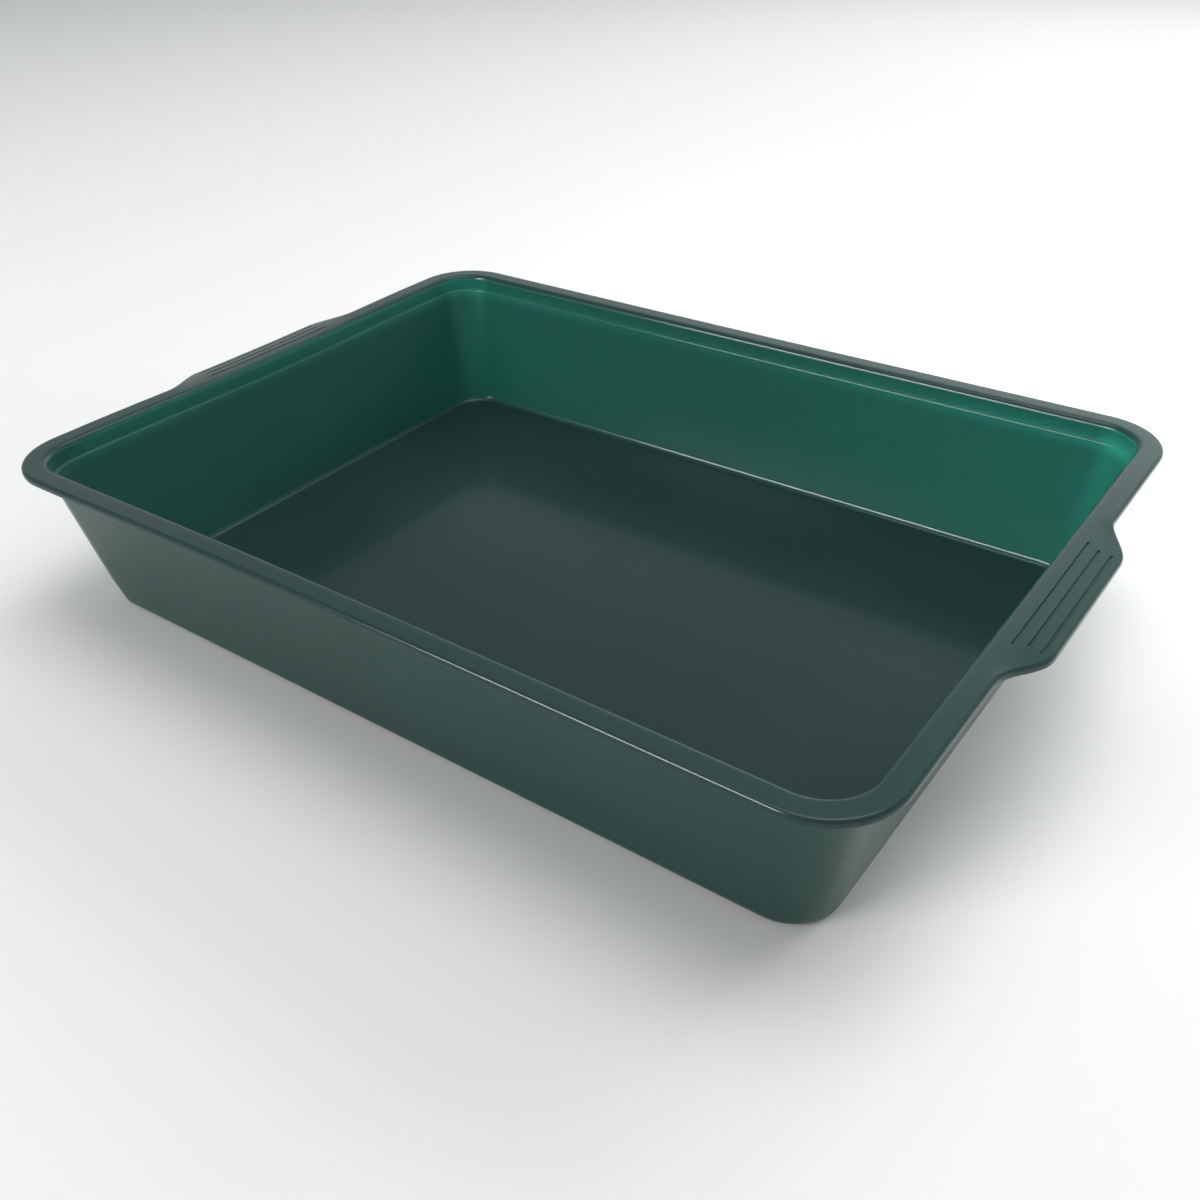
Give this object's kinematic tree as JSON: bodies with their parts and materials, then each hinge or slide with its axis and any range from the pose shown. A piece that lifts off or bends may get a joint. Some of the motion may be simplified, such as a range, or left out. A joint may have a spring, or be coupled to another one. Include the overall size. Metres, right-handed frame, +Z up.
{
  "type": "paint roller tray",
  "caption": "Flat-bottomed rectangular plastic paint tray with sloping walls, a stepped collar, a flat lipped rim and a grooved grip tab on each short end.",
  "frame": {"origin": "centre of the underside, on the plane the tray rests on", "axes": "+X along the tray from one grip tab to the other, +Y across it, +Z up"},
  "size_m": [0.504, 0.355, 0.084],
  "materials": {
    "green_polypropylene": "satin moulded polypropylene, dark green"
  },
  "bodies": {
    "root": {"tray_moulding": "green_polypropylene"}
  },
  "joints": []
}
